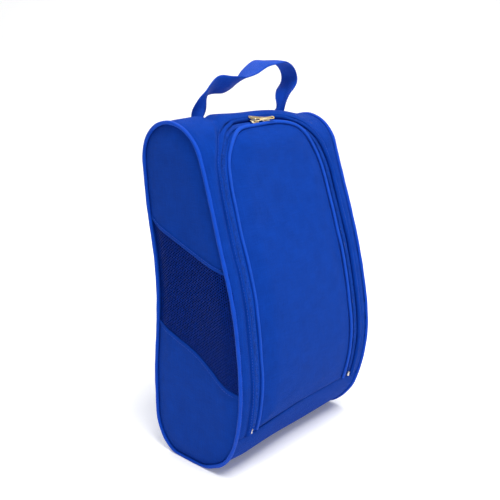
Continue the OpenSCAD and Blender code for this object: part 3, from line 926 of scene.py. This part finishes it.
door_cloth()
hinge_cloth()
piping = arch_sweep("door_cord", round_profile(DOOR_PIPING_W, 0.5 * MM, 1.9 * MM), DOOR_SEAM + 2.5 * MM,
                    0.28 * MM, 1.3, roll=(ROLL_OUT, ROLL_UP))
finish_piece(piping, "door", "trim", TRIM, "door_piping")


# ---------------------------------------------------------------- zip
def tape(name, w1, w2, sag, body, node):
    """Zip tape: thin, a little hollow across, with a corded edge beside the coil."""
    w = np.linspace(w1, w2, 9)
    t = (w - w1) / (w2 - w1)
    top = -0.5 * MM - sag * np.sin(math.pi * t)
    profile = [(a, b) for a, b in zip(w, top)] + [(a, b - 0.8 * MM) for a, b in zip(w[::-1], top[::-1])]
    obj = arch_sweep(name, profile, DOOR_SEAM + 0.6 * MM, 0.12 * MM, 0.7)
    finish_piece(obj, body, "zip_tape", TAPE, node)


tape("zip_tape_bag", TRACK_W + 0.6 * MM, LIP_IN + 1.5 * MM, 0.25 * MM, "bag", "zip_tape_outer")
tape("zip_tape_door", DOOR_PIPING_W + 1.2 * MM, TRACK_W - 0.6 * MM, 0.35 * MM, "door", "zip_tape_inner")

LIP = [(LIP_IN, -1.0 * MM), (LIP_IN - 0.1 * MM, 1.8 * MM), (LIP_IN + 0.5 * MM, 3.4 * MM),
       (LIP_IN + 1.7 * MM, 4.2 * MM), (LIP_IN + 3.1 * MM, 3.8 * MM), (LIP_IN + 4.4 * MM, 2.4 * MM),
       (LIP_OUT, 0.2 * MM), (LIP_OUT, -1.0 * MM)]
lip = arch_sweep("zip_lip_fold", LIP, DOOR_SEAM + 0.8 * MM, 0.3 * MM, 2.1, hood=2.6 * MM)
finish_piece(lip, "bag", "trim", CLOTH, "zip_lip")


def coil(name, sign, body, node):
    """One half of the coil: a row of nylon turns, each a flattened bead that reaches over the middle line."""
    pitch, start = 1.5 * MM, DOOR_SEAM + 8 * MM
    t = track_length(TRACK_W, start)
    x, s = track(TRACK_W, start)
    cx, cs = track(TRACK_W + 1 * MM, start)
    at = np.arange(pitch * (0.5 if sign > 0 else 1.0), t[-1] - pitch, pitch)
    n_around = 6
    verts, faces = [], []
    px, ps = np.interp(at, t, x), np.interp(at, t, s)
    ox, os_ = np.interp(at, t, (cx - x) / MM), np.interp(at, t, (cs - s) / MM)
    size_of = np.hypot(ox, os_)
    ox, os_ = ox / size_of, os_ / size_of
    reach = [(-0.45, 0.35), (0.1, 0.85), (1.2, 1.0), (2.2, 0.85), (2.9, 0.35)]
    ring = np.linspace(0, 2 * math.pi, n_around, endpoint=False)
    for k in range(len(at)):
        base = len(verts)
        dx, ds = -os_[k], ox[k]
        for out, size in reach:
            for a in ring:
                w = sign * out * MM
                along_t = 0.56 * MM * size * math.cos(a)
                h = 0.35 * MM + 0.75 * MM * size * math.sin(a)
                verts.append((px[k] + ox[k] * w + dx * along_t, ps[k] + os_[k] * w + ds * along_t, h))
        faces += ring_faces(len(reach), n_around, base)
    v = np.array(verts)
    pts = soften(place(v[:, 0], v[:, 1], v[:, 2]))
    obj = mesh_piece(name, pts, faces, face_uv(faces, v[:, :2]))
    face_out_closed(obj)
    finish_piece(obj, body, "zip_coil", COIL, node)


coil("coil_turns_bag", 1, "bag", "zip_coil_outer")
coil("coil_turns_door", -1, "door", "zip_coil_inner")


def track_stitches(name, w, h, body, **sizes):
    x, s = track(w, DOOR_SEAM + 6 * MM)
    p = soften(place(x, s, h))
    q = soften(place(x, s, h + 1 * MM))
    stitches(name, p, q - p, body, **sizes)


TAPE_STITCH = {"length": 1.5 * MM, "gap": 0.8 * MM, "radius": 0.22 * MM}
track_stitches("tape_stitch_bag", TRACK_W + 3.6 * MM, -0.35 * MM, "bag", **TAPE_STITCH)
track_stitches("tape_stitch_door", TRACK_W - 3.6 * MM, -0.45 * MM, "door", **TAPE_STITCH)
track_stitches("lip_stitch", LIP_IN + 3.9 * MM, 3.1 * MM, "bag", radius=0.24 * MM)

# ---------------------------------------------------------------- bindings and seam allowances inside
def swept(name, rows, across, closed_rows=False, caps=True):
    """A closed profile in rows[i, j] swept along i, with UVs of length along each way."""
    line = rows[:, 0]
    if closed_rows:
        line = np.vstack([line, line[:1]])
    uv = uv_grid(run_length(line), np.linspace(0, across, rows.shape[1] + 1))
    return grid_piece(name, soften(rows), uv, closed_rows, True, caps)


def soft_box(a0, a1, b0, b1, r):
    """Corner points of a rectangle with its corners cut back by r."""
    return [(a0 + r, b0), (a1 - r, b0), (a1, b0 + r), (a1, b1 - r),
            (a1 - r, b1), (a0 + r, b1), (a0, b1 - r), (a0, b0 + r)]


def side_binding(sign, side):
    """Ribbed tape folded over the side seam's raw edges, all the way round."""
    s = np.linspace(0, GIRTH, 360, endpoint=False)
    drop = 0.35 * MM * np.sin(s * 130)
    x_out, x_in = HALF - 2.1 * MM, HALF - 6.1 * MM
    shape = soft_box(x_in, x_out, -6.6 * MM, -3.6 * MM, 0.8 * MM)
    rows = np.stack([place(sign * a, s, b + drop) for a, b in shape], 1)
    obj = swept(f"side_binding_{side}", rows, 14 * MM, closed_rows=True, caps=False)
    finish_piece(obj, "bag", "binding", BINDING, f"seam_binding_{side}")


ALLOWANCE_TOP = -2.4 * MM    # the allowances start this far inside the wall's face


def inside_strip(name, x_from, x_to, s_from, width, depth, wave, slot, material, node):
    """A seam allowance that stands inwards from the wall, bound along its free edge."""
    x = np.linspace(x_from, x_to, 60)
    lean = wave * np.sin(x * 55 + 1)
    shape = [(0.0, 0.0), (0.0, 0.8), (-0.25, 0.86), (0.0, 0.97), (0.5, 1.0),
             (1.0, 0.97), (1.25, 0.86), (1.0, 0.8), (1.0, 0.0)]
    rows = np.stack([place(x, s_from + a * width + lean * b, ALLOWANCE_TOP - depth * b) for a, b in shape], 1)
    finish_piece(swept(name, rows, 2 * depth), "bag", slot, material, node)


for sign, side in ((-1, "left"), (1, "right")):
    side_binding(sign, side)
FIN = 99.5 * MM              # half width of the seam allowances
for node, s_from in (("top_seam_binding", TOP_SEAM - 1 * MM), ("door_seam_binding", DOOR_SEAM - 2.4 * MM),
                     ("back_seam_binding", BACK_SEAM - 1 * MM)):
    inside_strip(node.replace("binding", "allowance"), -FIN, FIN, s_from, 1.8 * MM, 7.6 * MM, 0.5 * MM,
                 "binding", BINDING, node)
for side in ("left", "right"):
    low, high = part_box(f"handle_end_{side}")
    inside_strip(f"webbing_tail_{side}", low.x, high.x, TOP_SEAM + 1.6 * MM, 1.7 * MM, 12 * MM, 0.3 * MM,
                 "webbing", WEBBING, f"handle_end_{side}")


# ---------------------------------------------------------------- metal parts
class Solid:
    """Vertices and faces of a piece that is built up from several closed shapes."""

    def __init__(self):
        self.verts, self.faces = [], []

    def add(self, verts, faces):
        n = len(self.verts)
        self.verts += [tuple(v) for v in verts]
        self.faces += [[n + k for k in f] for f in faces]

    def sheet(self, outline, holes, z0, z1, bevel, dome=0.0):
        """A flat part with rounded edges, cut to an outline with holes in it."""
        loops = [np.array(outline)] + [np.array(h)[::-1] for h in holes]
        levels = ((1, z0), (0.3, z0 + 0.3 * bevel), (0, z0 + bevel),
                  (0, z1 - bevel), (0.3, z1 - 0.3 * bevel), (1, z1))
        rings, sizes = [], []
        for loop in loops:
            d = np.roll(loop, -1, 0) - np.roll(loop, 1, 0)
            out = unit(np.stack([d[:, 1], -d[:, 0]], -1))
            rings.append([(loop - out * k * bevel, h) for k, h in levels])
            sizes.append(len(loop))
        verts, faces = [], []
        starts = []
        for ring in rings:
            starts.append(len(verts))
            n = len(ring[0][0])
            for q, h in ring:
                verts += [(a, b, h) for a, b in q]
            for k in range(len(ring) - 1):
                for i in range(n):
                    a, b = starts[-1] + k * n + i, starts[-1] + k * n + (i + 1) % n
                    faces.append([a, b, b + n, a + n])
        flat = np.vstack([ring[0][0] for ring in rings])
        edges, owner, base = [], [], 0
        for k, n in enumerate(sizes):
            edges += [(base + i, base + (i + 1) % n) for i in range(n)]
            owner += [(starts[k] + i, starts[k] + 5 * n + i) for i in range(n)]
            base += n
        made = delaunay_2d_cdt([Vector(q) for q in flat], edges, [], 0, 1e-7)
        for f in made[2]:
            mid = flat[list(f)].mean(0)[None]
            within = [inside_region(mid, ring[0][0])[0] for ring in rings]
            if within[0] and not any(within[1:]):
                faces.append([owner[k][1] for k in f])
                faces.append([owner[k][0] for k in f][::-1])
        if dome:
            reach = np.abs(np.array(outline)[:, 1]).max()
            verts = [(a, b, h + dome * (1 - (b / reach) ** 2) * (h > (z0 + z1) / 2)) for a, b, h in verts]
        self.add(verts, faces)

    def tube(self, path, r_side, r_other, side=(0, 1, 0), n=10):
        """A bar along a path, r_side wide along side and r_other thick across it."""
        p = np.array(path, float)
        t = unit(np.gradient(p, axis=0))
        s = np.array(side, float)
        s = unit(s - (t @ s)[:, None] * t)
        o = np.cross(t, s)
        a = np.linspace(0, 2 * math.pi, n, endpoint=False)
        wide, thick = (np.sign(f) * np.abs(f) ** 0.6 for f in (np.cos(a), np.sin(a)))
        ring = (p[:, None] + s[:, None] * (wide * r_side)[None, :, None]
                + o[:, None] * (thick * r_other)[None, :, None])
        self.add(ring.reshape(-1, 3), ring_faces(len(p), n))

    def build(self, name, frame_at, spin=0.0, tilt=0.0, lift=0.0):
        """Placed in a slider's own frame: spun about its z, then tilted up, in mm."""
        p = np.array(self.verts)
        x, y, z = p.T
        x, z = x * cos(tilt) - z * sin(tilt), x * sin(tilt) + z * cos(tilt)
        x, y = x * cos(spin) - y * sin(spin), x * sin(spin) + y * cos(spin)
        origin, ax, ay, az = frame_at
        world = origin + (x[:, None] * ax + y[:, None] * ay + (z[:, None] + lift) * az) * MM
        obj = mesh_piece(name, world, self.faces, [self.verts[k][:2] for f in self.faces for k in f])
        bm = bmesh.new()
        bm.from_mesh(obj.data)
        bmesh.ops.recalc_face_normals(bm, faces=bm.faces)
        bm.to_mesh(obj.data)
        bm.free()
        return obj


def round_end(length, width, n=14):
    """Outline of a plate with round ends, centred on its middle."""
    a = np.radians(np.linspace(-90, 90, n))
    nose = width / 2
    right = np.stack([length / 2 - nose + nose * np.cos(a), nose * np.sin(a)], -1)
    return np.vstack([right, -right])


def slider_frame(sign):
    """Origin and axes of a slider on the soft wall: x along the track, y out of the door, z off the wall."""
    rise = (TRACK_W ** ARCH_N - SLIDER_X ** ARCH_N) ** (1 / ARCH_N)
    turn = math.atan((SLIDER_X / rise) ** (ARCH_N - 1))
    s = ARCH + rise
    _, _, a = outline(s)
    out, off = np.array([0, -cos(a), sin(a)]), np.array([0, -sin(a), -cos(a)])
    flat = np.array([1.0, 0, 0])
    origin = soften(place(sign * SLIDER_X, s, 0))
    c, d = math.cos(-sign * turn), math.sin(-sign * turn)
    return (origin, flat * c + out * d, out * c - flat * d, off), math.degrees(turn)


def zip_slider(sign, side):
    body = Solid()
    shape = round_end(11, 8)
    shape[:, 1] *= 1 - 0.10 * (sign * shape[:, 0] > 0) * np.abs(shape[:, 0]) / 5.5
    body.sheet(shape, [], 2.4, 3.6, 0.35, dome=0.25)
    body.sheet(shape, [], -4.1, -2.9, 0.35)
    body.tube([(-sign * 3, -1.55, z) for z in np.linspace(-3.4, 2.9, 5)], 0.45, 1.5)
    for edge in (-1, 1):
        body.tube([(x, edge * (3.75 - 0.02 * x * x), 2.25) for x in np.linspace(-3.6, 3.6, 9)], 0.25, 0.4)
    arch = [(-1.42, 0, 3.3), (-1.42, 0, 4.6), (-1.38, 0, 5.6), (-1.1, 0, 6.35), (-0.6, 0, 6.7), (0, 0, 6.78),
            (0.6, 0, 6.7), (1.1, 0, 6.35), (1.38, 0, 5.6), (1.42, 0, 4.6), (1.42, 0, 3.3)]
    body.tube(arch, 0.6, 0.3)
    for x_from in (1.4, -4.6):
        body.tube([(x, 0, 3.8) for x in np.linspace(x_from, x_from + 3.2, 6)], 0.7, 0.2)
    frame_at, _ = slider_frame(sign)
    obj = body.build(f"slider_body_{side}", frame_at)
    finish_piece(obj, f"slider_{side}", "metal", METAL, f"zip_slider_{side}")


def pull_tab(sign, side, tilt):
    """A flat stamped tab: a window for the slider's loop, a waist, a raised rim and a round hole."""
    frame_at, turn = slider_frame(sign)
    body = Solid()
    length, half = 23.0, 2.1
    a = np.radians(np.linspace(-90, 90, 14))
    tip = np.stack([length - half + half * np.cos(a), half * np.sin(a)], -1)
    back = [(8.2, 1.75), (6.2, 2.1), (0.3, 2.1), (-0.55, 1.7)]
    outline_pts = np.vstack([tip, back, [(x, -y) for x, y in back[::-1]]])
    window = [(4.7, -1.25), (5.1, -0.8), (5.1, 0.8), (4.7, 1.25), (0.6, 1.25), (0.6, -1.25)]
    ring = np.radians(np.linspace(0, 360, 20, endpoint=False))
    hole = np.stack([length - half - 0.5 + 1.1 * np.cos(ring), 1.1 * np.sin(ring)], -1)
    body.sheet(outline_pts, [window, hole], -0.4, 0.4, 0.18)
    body.tube([(0, y, 0) for y in np.linspace(-2.05, 2.05, 7)], 0.5, 0.5, side=(1, 0, 0), n=12)
    body.sheet(round_end(7.4, 1.5) + [12.8, 0], [], 0.3, 0.52, 0.1)
    spin = -16 - turn if sign < 0 else 164 + turn
    obj = body.build(f"pull_{side}", frame_at, spin, tilt, 5.2)
    finish_piece(obj, f"pull_{side}", "metal", TAB_METAL, f"pull_tab_{side}")


def zip_stop(sign, side):
    """A crimped metal stop at the foot of the outer coil."""
    s = np.linspace(DOOR_SEAM + 2 * MM, DOOR_SEAM + 7 * MM, 9)
    pinch = 0.25 * MM * np.cos((s - s[0]) / (s[-1] - s[0]) * 2 * math.pi)
    shape = soft_box(TRACK_W + 0.3 * MM, TRACK_W + 3.5 * MM, -0.5 * MM, 1.8 * MM, 0.5 * MM)
    rows = np.stack([place(sign * a, s, b + pinch * (b > 0)) for a, b in shape], 1)
    finish_piece(swept(f"stop_{side}", rows, 10 * MM), "bag", "metal", METAL, f"zip_stop_{side}")


for sign, side, tilt in ((-1, "left", 14), (1, "right", 0)):
    zip_slider(sign, side)
    pull_tab(sign, side, tilt)
    zip_stop(sign, side)

# ---------------------------------------------------------------- handle
SEAM = place(0, TOP_SEAM, 0)
# Route of the webbing, given as x and height above the seam in mm, then which way its width points
STRAP = [
    (-56, -3, 0.99, 0.12, 0), (-56, 2, 0.99, 0.12, 0), (-55, 5.5, 0.93, 0.36, 0), (-53, 10, 0.80, 0.60, 0),
    (-48, 19, 0.69, 0.72, 0), (-39, 27, 0.50, 0.70, -0.50), (-28, 31, 0.20, 0.55, -0.80),
    (-14, 30, 0.10, 0.60, -0.75), (0, 31.5, 0, 0.80, -0.60), (8, 34, 0, 0.92, -0.39), (22, 42, 0, 1, 0.10),
    (40, 50.5, 0, 0.98, 0.22),
    (56, 51.5, 0, 1, 0.10), (72, 51, 0, 1, 0), (85, 43, 0, 1, 0), (90, 31, 0, 1, 0), (85, 19, -0.10, 0.99, 0),
    (75, 10, -0.60, 0.78, 0), (70, 5.5, -0.93, 0.36, 0), (68, 2, -0.99, 0.12, 0), (68, -3, -0.99, 0.12, 0),
]


def curve_through(points, per=8):
    """Smooth points through a list of route points, all columns alike."""
    p = np.array(points, float)
    p = np.vstack([2 * p[0] - p[1], p, 2 * p[-1] - p[-2]])
    out = []
    for i in range(1, len(p) - 2):
        for t in np.arange(per) / per:
            a, b, c, d = p[i - 1], p[i], p[i + 1], p[i + 2]
            out.append(0.5 * (2 * b + (c - a) * t + (2 * a - 5 * b + 4 * c - d) * t * t
                              + (3 * b - a - 3 * c + d) * t ** 3))
    out.append(p[-2])
    return np.array(out)


def webbing_handle():
    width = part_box("handle_end_left")[1].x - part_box("handle_end_left")[0].x
    thick = 1.7 * MM
    line = curve_through(STRAP)
    c = np.stack([line[:, 0] * MM, np.full(len(line), SEAM[1]), SEAM[2] + line[:, 1] * MM], -1)
    settle = (1 - smooth(line[:, 1] / 16))[:, None]
    c = c + (soften(c) - c) * settle
    t = unit(np.gradient(c, axis=0))
    w = line[:, 2:5]
    w = unit(w - (w * t).sum(1)[:, None] * t)
    n = np.cross(t, w)
    across = np.array([-0.5, -0.47, -0.40, -0.30, -0.15, 0, 0.15, 0.30, 0.40, 0.47, 0.5])
    rise = np.array([0.0, 0.42, 0.5, 0.40, 0.42, 0.42, 0.42, 0.40, 0.5, 0.42, 0.0])
    ring_w = np.concatenate([across, across[-2:0:-1]])
    ring_h = np.concatenate([rise, -rise[-2:0:-1]])
    length = run_length(c)
    cup = 1.2 * MM * np.sin(length * 30 + 0.5)
    bend = (ring_w * 2) ** 2
    # The feet are pinched: folded along their middle, most at the seam
    fold = np.radians(64) * (1 - smooth((line[:, 1] - 4) / 24))[:, None]
    fold = fold * np.where(line[:, :1] < 0, 1, -1)
    side_way = ring_w * np.cos(fold)
    off_way = (np.abs(ring_w) - 0.25) * np.sin(fold)
    lift = ring_h * thick + cup[:, None] * bend + off_way * width
    pts = c[:, None] + w[:, None] * side_way[..., None] * width + n[:, None] * lift[..., None]
    around = run_length(np.append(ring_w, ring_w[0])[:, None]) * width
    obj = grid_piece("handle_strap", pts, uv_grid(length, around), closed_cols=True, caps=True)
    finish_piece(obj, None, "webbing", WEBBING, "handle_webbing")
    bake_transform(obj)


webbing_handle()
